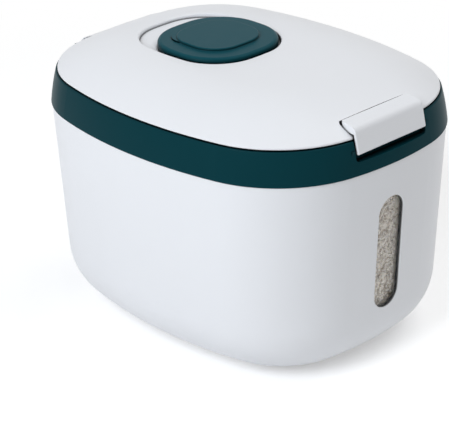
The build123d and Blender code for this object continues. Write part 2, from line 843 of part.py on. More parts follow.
with BuildPart() as cap:
    with BuildSketch(Plane.XY.offset(cap_foot_z)):
        with Locations((0, cap_back)):
            add(bowed_face(cap_arcs))
    extrude(amount=cap_top - cap_foot_z)
    fillet(cap.faces().sort_by(Axis.Z)[-1].edges(), cap_edge_radius)
    with BuildSketch(Plane.XY.offset(cap_skin_z)):
        with Locations((0, cap_back)):
            add(bowed_face(cap_arcs, plateau_inset))
    extrude(amount=plateau_top - cap_skin_z)
    fillet(cap.edges().filter_by(on_plateau_foot), plateau_foot_radius)
    fillet(cap.faces().sort_by(Axis.Z)[-1].edges(), plateau_edge_radius)
    with BuildSketch(Plane.XY.offset(cap_foot_z)):
        with Locations((0, cap_back)):
            add(bowed_face(cap_arcs, cap_wall))
    extrude(amount=cap_skin_z - cap_foot_z, mode=Mode.SUBTRACT)
    with BuildSketch(Plane.XY.offset(cap_foot_z)):
        with Locations((0, cap_back)):
            add(bowed_face(cap_arcs, plateau_inset + cap_wall))
    extrude(amount=plateau_top - cap_wall - cap_foot_z, mode=Mode.SUBTRACT)
    with BuildSketch(Plane.XY.offset(seat_z)):
        with Locations((0, box_back)):
            RectangleRounded(
                box_width + 2 * seal_lap,
                box_length + 2 * seal_lap,
                box_corner_radius + seal_lap,
            )
            RectangleRounded(
                box_width - box_wall,
                box_length - box_wall,
                box_corner_radius - box_wall / 2,
                mode=Mode.SUBTRACT,
            )
    extrude(amount=plateau_top - cap_wall / 2 - seat_z)
    add(cap_rib.part)
    mirror(cap_rib.part, about=Plane.YZ)
    with BuildSketch(Plane.XY.offset(cap_foot_z - cap_barrel_radius)):
        with Locations((cap_lug_spread / 2, cap_hinge_y), (-cap_lug_spread / 2, cap_hinge_y)):
            Rectangle(slot_width, 2 * swing_room)
    extrude(amount=cap_hinge_z + swing_room - cap_foot_z + cap_barrel_radius, mode=Mode.SUBTRACT)
    with BuildSketch(Plane.YZ):
        with Locations((cap_hinge_y, cap_hinge_z)):
            Circle(cap_pin_radius + bore_clearance)
    extrude(amount=cap_pin_length / 2 + running_gap, both=True, mode=Mode.SUBTRACT)
cap.part.label = "cap"

with BuildPart() as cap_seal:
    with BuildSketch(Plane.XY.offset(seat_z - cap_seal_height)):
        with Locations((0, box_back)):
            RectangleRounded(
                box_width + 2 * cap_seal_width,
                box_length + 2 * cap_seal_width,
                box_corner_radius + cap_seal_width,
            )
            RectangleRounded(box_width, box_length, box_corner_radius, mode=Mode.SUBTRACT)
    extrude(amount=cap_seal_height)
cap_seal.part.label = "cap_seal"

with BuildPart() as cap_pin:
    with BuildSketch(Plane.YZ):
        with Locations((cap_hinge_y, cap_hinge_z)):
            Circle(cap_pin_radius)
    extrude(amount=cap_pin_length / 2, both=True)
cap_pin.part.label = "cap_pin"

pieces = [
    tub,
    foot_pads,
    window_pane,
    window_gasket,
    collar,
    hinge_pin,
    lid_shell,
    lid_liner,
    lid_seal,
    liner_screws,
    fresh_box,
    latch,
    latch_pin,
    cap,
    cap_seal,
    cap_pin,
]

os.makedirs("parts", exist_ok=True)
for piece in pieces:
    export_step(piece.part, "parts/" + piece.part.label + ".step")
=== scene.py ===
import math

import bpy
import numpy as np
from bpy.props import FloatProperty, FloatVectorProperty, IntProperty, PointerProperty
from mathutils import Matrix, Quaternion, Vector
from mathutils.bvhtree import BVHTree


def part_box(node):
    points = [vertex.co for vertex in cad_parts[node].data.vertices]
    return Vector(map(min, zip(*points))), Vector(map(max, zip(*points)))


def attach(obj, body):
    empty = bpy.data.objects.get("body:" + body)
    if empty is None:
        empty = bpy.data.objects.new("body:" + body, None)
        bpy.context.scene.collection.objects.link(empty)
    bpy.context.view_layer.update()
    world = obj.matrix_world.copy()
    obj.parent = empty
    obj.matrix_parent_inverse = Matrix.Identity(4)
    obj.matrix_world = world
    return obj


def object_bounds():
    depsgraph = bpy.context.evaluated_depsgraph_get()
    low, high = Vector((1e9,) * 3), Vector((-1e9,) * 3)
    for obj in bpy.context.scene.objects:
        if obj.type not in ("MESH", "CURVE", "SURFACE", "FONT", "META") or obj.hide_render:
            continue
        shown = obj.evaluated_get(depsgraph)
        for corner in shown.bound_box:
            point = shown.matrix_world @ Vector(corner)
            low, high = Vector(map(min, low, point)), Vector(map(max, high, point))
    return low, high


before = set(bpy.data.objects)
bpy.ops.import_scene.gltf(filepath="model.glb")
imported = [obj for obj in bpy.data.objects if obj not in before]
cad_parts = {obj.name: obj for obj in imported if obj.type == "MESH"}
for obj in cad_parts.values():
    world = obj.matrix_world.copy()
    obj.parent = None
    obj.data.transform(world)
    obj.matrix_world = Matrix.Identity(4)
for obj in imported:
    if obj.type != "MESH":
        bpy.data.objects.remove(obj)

cad_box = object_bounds()

bl_info = {
    "name": "Rice Storage Bin",
    "version": (1, 0, 0),
    "blender": (4, 5, 0),
    "location": "View3D > Sidebar > Rice Bin",
    "description": "Finishes, rice and stage for a kitchen rice bin with a hinged lid",
    "category": "Object",
}

MM = 0.001
WHITE = (1.0, 1.0, 1.0, 1.0)
UP = Vector((0.0, 0.0, 1.0))
FULL_TURN = 2 * math.pi
SHARP_EDGE = math.radians(30.0)

# Limits between which a shading value is spread from 0 to 1.
EDGE_LIMITS = (0.01, 0.12)
LEVEL_LIMITS = (0.3, 0.95)
SEAM_LIMITS = (0.1, 0.45)
HOLLOW_LIMITS = (0.25, 0.8)
SCUFF_LIMITS = (0.58, 0.72)
FRONT_LIMITS = (0.3, 0.7)
TONE_LIMITS = (0.66, 1.2)
CHALK_LIMITS = (0.62, 0.85)

# Shading: index of the pane, samples, and how wear, dust and dulling change a colour.
PANE_INDEX = 1.49
BEVEL_SAMPLES = 6
GAP_SAMPLES = 8
WEAR_GAIN = 1.3
WEAR_LIFT = 0.003
DUST_TONE = 0.75
DUST_SHARE = 0.22
DULL_STEEL = 0.72

# One grain: power of its swelling, and its bend and thickness as shares of its width.
GRAIN_SWELL = 0.62
GRAIN_BEND = 0.1
GRAIN_THICKNESS = 0.82

# The heap: steps round it, rings up it and shares of its rim over its top; the share of its height from
# which it follows the top's waves; and how far it stays above the tub's floor and below the loose grains.
HEAP_STEPS = 96
HEAP_RINGS = 14
HEAP_RING_POWER = 1.6
HEAP_SHARES = (0.96, 0.85, 0.7, 0.55, 0.4, 0.25, 0.1)
HEAP_RISE_START = 0.6
HEAP_FLOOR_GAP = 6.0 * MM
HEAP_SINK = 1.5 * MM

# The heap's top: long and short waves across and along it, and a dip, whose spread is in square metres.
LONG_WAVES = (31.0, 24.0)
LONG_WAVE_STARTS = (0.7, -0.4)
SHORT_WAVES = (58.0, 47.0)
SHORT_WAVE_SHARE = 0.5
WAVE_HEIGHT = 2.2 * MM
DIP_PLACE = (0.03, -0.05)
DIP_SPREAD = 0.0022
DIP_DEPTH = 7.0 * MM

# Loose grains: room at the wall, height in mm, lean and size on the top, then depth and lean at the pane.
TOP_ROOM = 0.6 * MM
TOP_HEIGHTS_MM = (-0.9, 0.5)
TOP_LEAN = 0.22
TOP_SIZES = (0.86, 1.1)
PANE_LAYERS = ((1.3 * MM, 0.1), (2.5 * MM, 0.25))
PANE_ROOM_ACROSS = 1.5 * MM
PANE_ROOM_UP = 1.0 * MM
PANE_SIZES = (0.86, 1.08)

FLOOR_SPECKLE = 4 * MM
FLOOR_SPECKLE_TONE = 0.985


def colour_property(name, description, default):
    """A colour setting, in linear values."""
    return FloatVectorProperty(
        name=name, description=description, subtype="COLOR", size=3, min=0.0, max=1.0, default=default
    )


def length_property(name, description, default):
    """A length setting, in metres."""
    return FloatProperty(
        name=name, description=description, subtype="DISTANCE", unit="LENGTH", default=default
    )


def place_property(name, description, default):
    """A point, in metres."""
    return FloatVectorProperty(name=name, description=description, subtype="TRANSLATION", default=default)


class FinishSettings(bpy.types.PropertyGroup):
    """Colours of the bin's materials and the sizes of their grain."""

    white: colour_property("White plastic", "Tub, lid, liner and latch", (0.86, 0.875, 0.905))
    white_drift: colour_property("White drift", "What the white drifts towards", (0.83, 0.84, 0.865))
    # Painted shade: a dark colour painted into narrow gaps and recesses of the white pieces, where shade
    # falls.
    white_gap_shade: colour_property("Seam in white", "Shade in narrow gaps", (0.1, 0.1, 0.105))
    green: colour_property("Green plastic", "Collar, freshness box and cap sides", (0.002, 0.036, 0.046))
    green_drift: colour_property("Green drift", "What the green drifts towards", (0.003, 0.041, 0.052))
    # Painted light: a lighter green painted on the cap's upward faces, where top light falls.
    green_lit_top: colour_property("Green cap top", "Lit tone of the top of the cap", (0.0075, 0.068, 0.088))
    # Painted shade: a dark colour painted into narrow gaps and recesses of the green pieces, where shade
    # falls.
    green_gap_shade: colour_property("Seam in green", "Dark of narrow gaps", (0.001, 0.004, 0.005))
    clear: colour_property("Clear plastic", "Window pane", (0.8, 0.81, 0.8))
    haze: colour_property("Haze", "Scuffs on the window pane", (0.8, 0.82, 0.83))
    # Painted shade: the pane's sides are painted dark and nearly opaque to stand in for the shade in the
    # window slot.
    rim: colour_property("Pane rim", "Sides of the pane, where no light comes through", (0.04, 0.045, 0.05))
    seal: colour_property("Seal rubber", "Lid seal and cap seal", (0.62, 0.64, 0.66))
    gasket: colour_property("Gasket rubber", "Window gasket", (0.66, 0.68, 0.7))
    foot: colour_property("Foot rubber", "Foot pads", (0.2, 0.205, 0.21))
    steel: colour_property("Steel", "Hinge pins and screws", (0.56, 0.57, 0.58))
    grain: length_property("Moulded grain", "Size of the fine grain in the plastic", 0.6 * MM)
    drift: length_property("Drift", "Size of the slow changes of sheen", 70 * MM)
    edge: length_property("Edge wear", "How far polish reaches from an edge", 0.9 * MM)
    seam: length_property("Seam", "How wide a gap may be to look dark", 2.4 * MM)
    hollow: length_property("Hollow", "How wide a recess may be to look dark", 12 * MM)


class RiceSettings(bpy.types.PropertyGroup):
    """Rice inside the tub."""

    light: colour_property("Light grain", "Palest grains", (1.0, 0.93, 0.84))
    dark: colour_property("Dark grain", "Darkest grains", (0.36, 0.27, 0.185))
    chalk: colour_property("Chalky core", "White patch in some grains", (1.0, 0.98, 0.95))
    length: length_property("Grain length", "Length of a grain", 4.8 * MM)
    width: length_property("Grain width", "Width of a grain", 2.2 * MM)
    level: length_property("Fill level", "Height of the rice above the floor", 149 * MM)
    wall_gap: length_property("Wall gap", "Room between the fill and the tub", 2.4 * MM)
    top_grains: IntProperty(name="Top grains", description="Grains on the top", default=7600, min=0)
    pane_grains: IntProperty(
        name="Pane grains", description="Grains in a layer at the window", default=460, min=0
    )
    seed: IntProperty(name="Seed", description="Start of the random places", default=11)


class StageSettings(bpy.types.PropertyGroup):
    """Floor, lights and camera."""

    floor: colour_property("Floor", "Colour of the floor", (0.9, 0.9, 0.9))
    floor_size: length_property("Floor size", "Side of the floor", 12.0)
    shadow_reach: length_property("Shadow reach", "How far from the bin the floor turns white", 0.7)
    floor_lift: FloatProperty(
        name="Floor lift", description="White added to the floor where it is seen", default=0.36
    )
    sky: FloatProperty(name="Sky", description="Strength of the light from all round", default=0.28)
    key_tint: colour_property("Key tint", "Colour of the lamp on the left", (0.92, 0.955, 1.0))
    fill_tint: colour_property("Fill tint", "Colour of the lamp overhead", (1.0, 1.0, 1.0))
    key: FloatProperty(
        name="Key lamp", description="Power of the lamp on the left", subtype="POWER", default=22.5
    )
    fill: FloatProperty(
        name="Fill lamp", description="Power of the lamp overhead", subtype="POWER", default=15.0
    )
    key_size: length_property("Key size", "Side of the lamp on the left", 1.1)
    fill_size: length_property("Fill size", "Side of the lamp overhead", 1.6)
    lens: FloatProperty(name="Lens", description="Focal length in millimetres", default=173.47)
    sensor: FloatProperty(name="Sensor", description="Width of the sensor in millimetres", default=36.0)
    roll: FloatProperty(
        name="Roll", description="Turn about the line of sight", subtype="ANGLE", default=-0.0221
    )
    place: place_property("Camera", "Place of the camera", (-1.04955, -1.07251, 0.79234))
    aim: place_property("Aim", "Point in the middle of the picture", (-0.0201, 0.0054, 0.07936))
    key_place: place_property("Key place", "Place of the lamp on the left", (-1.6, -0.1, 1.25))
    fill_place: place_property("Fill place", "Place of the lamp overhead", (0.95, -0.45, 1.85))


class RiceBinSettings(bpy.types.PropertyGroup):
    """All settings of the bin."""

    finish: PointerProperty(type=FinishSettings)
    rice: PointerProperty(type=RiceSettings)
    stage: PointerProperty(type=StageSettings)


class Value:
    """An output of a node: a number with Python's arithmetic, or a colour, vector or shader."""

    def __init__(self, finish, socket):
        self.finish = finish
        self.socket = socket

    def math(self, operation, first, second):
        return self.finish.node("ShaderNodeMath", {"operation": operation}, {0: first, 1: second})

    def __add__(self, other):
        return self.math("ADD", self, other)

    def __radd__(self, other):
        return self.math("ADD", other, self)

    def __sub__(self, other):
        return self.math("SUBTRACT", self, other)

    def __rsub__(self, other):
        return self.math("SUBTRACT", other, self)

    def __mul__(self, other):
        return self.math("MULTIPLY", self, other)

    def __rmul__(self, other):
        return self.math("MULTIPLY", other, self)

    def clamped(self, low, high):
        """The value spread from low and high to 0 and 1, and held there."""
        return self.finish.node(
            "ShaderNodeMapRange",
            {"interpolation_type": "SMOOTHSTEP"},
            {"Value": self, "From Min": low, "From Max": high},
        )


class Finish:
    """A new material or world, and the nodes that feed its shader."""

    def __init__(self, name, kind="materials"):
        self.owner = getattr(bpy.data, kind).new(name)
        self.owner.use_nodes = True
        self.tree = self.owner.node_tree
        self.tree.nodes.clear()

    def node(self, kind, settings=None, inputs=None, output=0):
        """Adds a node, sets it up, fills its sockets and returns one of its outputs."""
        made = self.tree.nodes.new(kind)
        for key, value in (settings or {}).items():
            setattr(made, key, value)
        for key, value in (inputs or {}).items():
            if isinstance(value, Value):
                self.tree.links.new(value.socket, made.inputs[key])
            else:
                made.inputs[key].default_value = value
        return Value(self, made.outputs[output]) if made.outputs else None

    def place(self):
        """The point on the piece, in metres."""
        return self.node("ShaderNodeTexCoord", output="Object")

    def noise(self, size, detail, stretch=(1.0, 1.0, 1.0)):
        """Cloudy noise whose lumps are about one size across."""
        spread = self.node(
            "ShaderNodeVectorMath", {"operation": "MULTIPLY"}, {0: self.place(), 1: stretch}
        )
        return self.node(
            "ShaderNodeTexNoise", None, {"Vector": spread, "Scale": 1.0 / size, "Detail": detail}, "Fac"
        )

    def mix(self, factor, first, second):
        """A colour between two colours."""
        shown = [c if isinstance(c, Value) else (*c, 1.0) for c in (first, second)]
        return self.node(
            "ShaderNodeMix", {"data_type": "RGBA"}, {0: factor, 6: shown[0], 7: shown[1]}, 2
        )

    def edges(self, reach):
        """How near a point is to a sharp edge, from 0 on a face to 1 on the edge."""
        rounded = self.node("ShaderNodeBevel", {"samples": BEVEL_SAMPLES}, {"Radius": reach})
        straight = self.node("ShaderNodeNewGeometry", output="Normal")
        alike = self.node(
            "ShaderNodeVectorMath", {"operation": "DOT_PRODUCT"}, {0: rounded, 1: straight}, "Value"
        )
        return (1.0 - alike).clamped(*EDGE_LIMITS)

    def shut_in(self, reach, low, high):
        """How shut in a point is by what stands within reach, from 0 in the open to 1 in a gap."""
        open_share = self.node(
            "ShaderNodeAmbientOcclusion", {"samples": GAP_SAMPLES}, {"Distance": reach}, "AO"
        )
        return (1.0 - open_share).clamped(low, high)

    def facing_up(self):
        """How level a face is, from 0 on a wall to 1 on a top."""
        normal = self.node("ShaderNodeNewGeometry", output="Normal")
        return self.node("ShaderNodeSeparateXYZ", None, {0: normal}, "Z").clamped(*LEVEL_LIMITS)

    def bump(self, height, depth, strength):
        """A normal that is raised by the height, which is as deep as said."""
        return self.node(
            "ShaderNodeBump", None, {"Strength": strength, "Distance": depth, "Height": height}, "Normal"
        )

    def surface(self, inputs):
        """Ends the material in a Principled shader with these inputs."""
        shader = self.node("ShaderNodeBsdfPrincipled", None, inputs)
        self.node("ShaderNodeOutputMaterial", None, {"Surface": shader})
        return self.owner

    def seen(self):
        """1 for what the camera sees straight, in a reflection or through a clear piece, else 0."""
        reach = self.node("ShaderNodeLightPath", output="Is Camera Ray")
        for ray in ("Is Glossy Ray", "Is Transmission Ray"):
            reach = reach.math("MAXIMUM", reach, self.node("ShaderNodeLightPath", output=ray))
        return reach


def white_plastic(look):
    """Satin white moulding: fine grain, slow drift of tone and sheen, polished edges, and painted shade
    that darkens seams and recesses.
    """
    finish = Finish("satin_white_plastic")
    drift = finish.noise(look.drift, 3.0)
    grain = finish.noise(look.grain, 3.0)
    handling = finish.noise(look.drift / 5, 4.0)
    edge = finish.edges(look.edge)
    tone = finish.mix(drift * 0.7, look.white, look.white_drift)
    kept = finish.mix(edge * 0.35, tone, look.white)
    # Painted shade: gaps and recesses found by ambient occlusion are darkened in the base colour.
    gap = finish.shut_in(look.seam, *SEAM_LIMITS)
    hollow = finish.shut_in(look.hollow, *HOLLOW_LIMITS)
    return finish.surface({
        "Base Color": finish.mix(gap * 0.85 + hollow * 0.15, kept, look.white_gap_shade),
        "Roughness": 0.36 + drift * 0.08 + handling * 0.05 + grain * 0.04 - edge * 0.08,
        "Specular IOR Level": 0.42,
        "Normal": finish.bump(grain + handling * 0.6, 0.03 * MM, 0.35),
    })


def green_plastic(name, top, look):
    """Dark green moulding with faint flow marks, worn edges, painted light on faces that look up, and
    painted shade in gaps and recesses.
    """
    finish = Finish(name)
    drift = finish.noise(look.drift, 3.0)
    flow = finish.noise(look.drift / 6, 4.0, (1.0, 1.0, 0.2))
    grain = finish.noise(look.grain, 2.0)
    edge = finish.edges(look.edge)
    tone = finish.mix(drift * 0.6 + flow * 0.3, look.green, look.green_drift)
    # Painted light: faces that look up are lightened toward the top colour, as if lit from above.
    lit_top = finish.mix(finish.facing_up(), tone, top)
    worn = [min(1.0, c * WEAR_GAIN + WEAR_LIFT) for c in look.green_drift]
    kept = finish.mix(edge * 0.5, lit_top, worn)
    # Painted shade: gaps and recesses found by ambient occlusion are darkened in the base colour.
    gap = finish.shut_in(look.seam, *SEAM_LIMITS)
    hollow = finish.shut_in(look.hollow, *HOLLOW_LIMITS)
    return finish.surface({
        "Base Color": finish.mix(gap * 0.85 + hollow * 0.8, kept, look.green_gap_shade),
        "Roughness": 0.27 + drift * 0.07 + flow * 0.05 + grain * 0.03 - edge * 0.05,
        "Specular IOR Level": 0.035,
        "Normal": finish.bump(grain + flow, 0.02 * MM, 0.3),
    })


def clear_plastic(look):
    """Clear moulding: mostly see-through, with gloss that grows at grazing angles, faint scuffs, and
    painted shade on its sides.
    """
    finish = Finish("clear_window_plastic")
    flow = finish.noise(look.drift / 4, 3.0, (1.0, 1.0, 0.3))
    scuff = finish.noise(look.grain * 4, 5.0, (1.0, 1.0, 0.15)).clamped(*SCUFF_LIMITS)
    facing = finish.node("ShaderNodeFresnel", None, {"IOR": PANE_INDEX})
    normal = finish.node("ShaderNodeNewGeometry", output="Normal")
    along = finish.node("ShaderNodeSeparateXYZ", None, {0: normal}, "Y")
    # Painted shade: faces across the pane's thickness get the dark rim colour and are made nearly opaque.
    side = 1.0 - (along * along).clamped(*FRONT_LIMITS)
    hazy = finish.mix(scuff * 0.4, look.clear, look.haze)
    return finish.surface({
        "Base Color": finish.mix(side, hazy, look.rim),
        "Roughness": 0.06 + flow * 0.05 + scuff * 0.12,
        "Specular IOR Level": 0.6,
        "Alpha": facing * 0.16 + scuff * 0.02 + side * 0.8,
        "Normal": finish.bump(flow, 0.05 * MM, 0.25),
    })


def soft_rubber(name, colour, look):
    """Matt rubber: dusty bloom, moulding specks and a soft grain."""
    finish = Finish(name)
    bloom = finish.noise(look.drift / 8, 5.0)
    speck = finish.noise(look.grain * 0.8, 2.0)
    edge = finish.edges(look.edge)
    dusty = [c + (DUST_TONE - c) * DUST_SHARE for c in colour]
    return finish.surface({
        "Base Color": finish.mix(bloom * 0.5 + edge * 0.25, colour, dusty),
        "Roughness": 0.62 + bloom * 0.18 + speck * 0.06,
        "Specular IOR Level": 0.3,
        "Normal": finish.bump(speck + bloom, 0.06 * MM, 0.5),
    })


def drawn_steel(look):
    """Steel wire and screws: fine lines along X, brighter worn edges."""
    finish = Finish("drawn_steel")
    lines = finish.noise(look.grain / 3, 3.0, (0.04, 1.0, 1.0))
    stain = finish.noise(look.drift / 20, 4.0)
    edge = finish.edges(look.edge / 2)
    dull = [c * DULL_STEEL for c in look.steel]
    return finish.surface({
        "Base Color": finish.mix(stain * 0.5 + lines * 0.2 - edge * 0.3, look.steel, dull),
        "Metallic": 1.0,
        "Roughness": 0.24 + lines * 0.16 + stain * 0.1,
        "Normal": finish.bump(lines, 0.02 * MM, 0.4),
    })


def rice_finish(rice):
    """Milled rice: each grain has its own tone, with chalky patches and a dull polish."""
    finish = Finish("milled_rice")
    own = finish.node("ShaderNodeNewGeometry", output="Random Per Island")
    patch = finish.noise(rice.width * 0.8, 3.0)
    grain = finish.noise(rice.width * 0.15, 2.0)
    tone = finish.mix((own + patch * 0.3).clamped(*TONE_LIMITS), rice.light, rice.dark)
    chalky = (patch + own * 0.25).clamped(*CHALK_LIMITS)
    return finish.surface({
        "Base Color": finish.mix(chalky * 0.6, tone, rice.chalk),
        "Roughness": 0.3 + patch * 0.15 + grain * 0.08,
        "Specular IOR Level": 0.5,
        "Subsurface Weight": 0.12,
        "Subsurface Radius": (0.9 * MM, 0.7 * MM, 0.45 * MM),
        "Subsurface Scale": 1.0,
        "Normal": finish.bump(grain + patch * 0.5, 0.08 * MM, 0.5),
    })


def dress(nodes, material):
    """Gives CAD nodes a material and smooth shading with sharp edges."""
    for name in nodes:
        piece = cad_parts[name]
        piece.data.materials.clear()
        piece.data.materials.append(material)
        piece.data.polygons.foreach_set("use_smooth", [True] * len(piece.data.polygons))
        piece.data.set_sharp_from_angle(angle=SHARP_EDGE)


def node_tree_of(*names):
    """A search tree over the triangles of some CAD nodes."""
    points, faces = [], []
    for name in names:
        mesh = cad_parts[name].data
        start = len(points)
        points.extend(v.co.copy() for v in mesh.vertices)
        faces.extend([start + i for i in p.vertices] for p in mesh.polygons)
    return BVHTree.FromPolygons(points, faces)


def wall_reach(walls, height, angle):
    """How far the inside of the tub is from its middle, at a height and an angle."""
    way = Vector((math.cos(angle), math.sin(angle), 0.0))
    hit = walls.ray_cast(Vector((0.0, 0.0, height)), way)
    if hit[0] is None:
        raise RuntimeError("the tub has no wall at height %.4f" % height)
    return hit[3]


def grain_shape(rice, rings=3, sides=5):
    """Points and faces of one grain along X: a plump spindle, a little bent and flattened."""
    points = [(-rice.length / 2, 0.0, 0.0)]
    for ring in range(rings):
        share = (ring + 1) / (rings + 1)
        along = -rice.length / 2 * math.cos(math.pi * share)
        around = rice.width / 2 * math.sin(math.pi * share) ** GRAIN_SWELL
        lift = rice.width * GRAIN_BEND * math.sin(math.pi * share)
        for side in range(sides):
            turn = FULL_TURN * side / sides
            deep = around * GRAIN_THICKNESS * math.sin(turn)
            points.append((along, around * math.cos(turn), deep + lift))
    points.append((rice.length / 2, 0.0, 0.0))
    last = len(points) - 1
    faces = []
    for side in range(sides):
        after = (side + 1) % sides
        faces.append((0, 1 + after, 1 + side))
        for ring in range(rings - 1):
            low = 1 + ring * sides
            faces.append((low + side, low + after, low + sides + after, low + sides + side))
        low = 1 + (rings - 1) * sides
        faces.append((last, low + side, low + after))
    return np.array(points), faces


def turned(points, heading, tilt, spin, normal):
    """Points turned by a heading in a face, tilted out of it, spun, and laid on a face's normal."""
    lay = UP.rotation_difference(normal)
    turn = lay @ Quaternion((0, 0, 1), heading) @ Quaternion((0, 1, 0), tilt) @ Quaternion((1, 0, 0), spin)
    return points @ np.array(turn.to_matrix()).T


def mesh_piece(name, points, faces, material):
    """A new mesh object with smooth faces."""
    mesh = bpy.data.meshes.new(name)
    mesh.from_pydata(points, [], faces)
    mesh.polygons.foreach_set("use_smooth", [True] * len(mesh.polygons))
    mesh.materials.append(material)
    mesh.update()
    piece = bpy.data.objects.new(name, mesh)
    bpy.context.scene.collection.objects.link(piece)
    return piece


def scattered(rice, spots):
    """Points and faces of all the grains at the spots: place, heading, tilt, spin, size and normal."""
    shape, shape_faces = grain_shape(rice)
    all_points, all_faces = [], []
    for place, heading, tilt, spin, size, normal in spots:
        start = len(all_points) * len(shape)
        all_points.append(turned(shape * size, heading, tilt, spin, normal) + np.array(place))
        all_faces.extend([start + i for i in face] for face in shape_faces)
    return np.concatenate(all_points), all_faces


def top_height(rice, x, y):
    """Height of the heap's top, with gentle waves and a dip where rice was taken."""
    across = math.sin(x * LONG_WAVES[0] + LONG_WAVE_STARTS[0])
    along = math.cos(y * LONG_WAVES[1] + LONG_WAVE_STARTS[1])
    wave = across * along + SHORT_WAVE_SHARE * math.sin(x * SHORT_WAVES[0] - y * SHORT_WAVES[1])
    away = (x - DIP_PLACE[0]) ** 2 + (y - DIP_PLACE[1]) ** 2
    return rice.level + WAVE_HEIGHT * wave - DIP_DEPTH * math.exp(-away / DIP_SPREAD)


def heap_mesh(rice, walls):
    """Closed form of the rice: rings up the inside of the tub, then over the top to its middle."""
    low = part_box("tub")[0].z + HEAP_FLOOR_GAP
    climbs = [(ring / HEAP_RINGS) ** HEAP_RING_POWER for ring in range(HEAP_RINGS + 1)]
    heights = [low + (rice.level - low) * climb for climb in climbs]
    points = []
    for height in heights:
        part = max(0.0, height / rice.level - HEAP_RISE_START)
        for step in range(HEAP_STEPS):
            angle = FULL_TURN * step / HEAP_STEPS
            reach = wall_reach(walls, height, angle) - rice.wall_gap
            x, y = reach * math.cos(angle), reach * math.sin(angle)
            rise = top_height(rice, x, y) - rice.level
            points.append((x, y, height + rise * part / (1 - HEAP_RISE_START) - HEAP_SINK))
    rim = points[-HEAP_STEPS:]
    for share in HEAP_SHARES:
        for x, y, _ in rim:
            points.append((x * share, y * share, top_height(rice, x * share, y * share) - HEAP_SINK))
    last = len(points) - HEAP_STEPS
    faces = []
    for low_ring in range(0, last, HEAP_STEPS):
        high_ring = low_ring + HEAP_STEPS
        for step in range(HEAP_STEPS):
            after = (step + 1) % HEAP_STEPS
            faces.append((low_ring + step, low_ring + after, high_ring + after, high_ring + step))
    points.append((0.0, 0.0, top_height(rice, 0.0, 0.0) - HEAP_SINK))
    points.append((0.0, 0.0, low - HEAP_SINK))
    top, bottom = len(points) - 2, len(points) - 1
    for step in range(HEAP_STEPS):
        after = (step + 1) % HEAP_STEPS
        faces.append((last + step, last + after, top))
        faces.append((after, step, bottom))
    return points, faces


def random_turn(draw, lean):
    """Heading, tilt and spin of a grain, drawn in that order."""
    return draw.uniform(0, FULL_TURN), draw.normal(0, lean), draw.uniform(0, FULL_TURN)


def top_spots(rice, walls, draw):
    """Places of the grains on the heap's top, close to level and lying every way."""
    spots = []
    while len(spots) < rice.top_grains:
        angle = draw.uniform(0, FULL_TURN)
        reach = wall_reach(walls, rice.level, angle) - rice.length / 2 - TOP_ROOM
        far = reach * math.sqrt(draw.uniform(0, 1))
        x, y = far * math.cos(angle), far * math.sin(angle)
        z = top_height(rice, x, y) + draw.uniform(*TOP_HEIGHTS_MM) * MM
        spots.append(((x, y, z), *random_turn(draw, TOP_LEAN), draw.uniform(*TOP_SIZES), UP))
    return spots


def pane_spots(rice, draw):
    """Places of the grains that lie against the inside of the window, in two layers."""
    low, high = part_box("window_pane")
    pane = node_tree_of("window_pane")
    spots = []
    for depth, lean in PANE_LAYERS:
        found = 0
        while found < rice.pane_grains:
            x = draw.uniform(low.x + PANE_ROOM_ACROSS, high.x - PANE_ROOM_ACROSS)
            z = draw.uniform(low.z + PANE_ROOM_UP, high.z - PANE_ROOM_UP)
            hit, normal, _, _ = pane.ray_cast(Vector((x, 0.0, z)), Vector((0.0, -1.0, 0.0)))
            if hit is None:
                continue
            inward = normal if normal.y > 0 else -normal
            place = tuple(hit + inward * depth)
            spots.append((place, *random_turn(draw, lean), draw.uniform(*PANE_SIZES), inward))
            found += 1
    return spots


class RICEBIN_OT_dress_white(bpy.types.Operator):
    """Finish the tub, the lid, its liner and the latch in satin white plastic"""

    bl_idname = "rice_bin.dress_white"
    bl_label = "White Plastic Pieces"

    def execute(self, context):
        look = context.scene.rice_bin.finish
        dress(("tub", "lid_shell", "lid_liner", "latch"), white_plastic(look))
        return {"FINISHED"}


class RICEBIN_OT_dress_green(bpy.types.Operator):
    """Finish the collar, the cap and the freshness box in dark green plastic"""

    bl_idname = "rice_bin.dress_green"
    bl_label = "Green Plastic Pieces"

    def execute(self, context):
        look = context.scene.rice_bin.finish
        dress(("collar", "fresh_box"), green_plastic("green_plastic", look.green, look))
        # Only the cap gets painted light on its upward faces; the collar and the box get none.
        dress(("cap",), green_plastic("green_cap_plastic", look.green_lit_top, look))
        return {"FINISHED"}


class RICEBIN_OT_dress_window(bpy.types.Operator):
    """Finish the window pane in clear plastic and its gasket in rubber"""

    bl_idname = "rice_bin.dress_window"
    bl_label = "Window"

    def execute(self, context):
        look = context.scene.rice_bin.finish
        dress(("window_pane",), clear_plastic(look))
        dress(("window_gasket",), soft_rubber("gasket_rubber", look.gasket, look))
        return {"FINISHED"}


class RICEBIN_OT_dress_soft(bpy.types.Operator):
    """Finish the seals and the foot pads in rubber"""

    bl_idname = "rice_bin.dress_soft"
    bl_label = "Seals and Feet"

    def execute(self, context):
        look = context.scene.rice_bin.finish
        dress(("lid_seal", "cap_seal"), soft_rubber("seal_rubber", look.seal, look))
        dress(("foot_pads",), soft_rubber("foot_rubber", look.foot, look))
        return {"FINISHED"}


class RICEBIN_OT_dress_steel(bpy.types.Operator):
    """Finish the pins and the screws in drawn steel"""

    bl_idname = "rice_bin.dress_steel"
    bl_label = "Pins and Screws"

    def execute(self, context):
        look = context.scene.rice_bin.finish
        dress(("hinge_pin", "latch_pin", "cap_pin", "liner_screws"), drawn_steel(look))
        return {"FINISHED"}


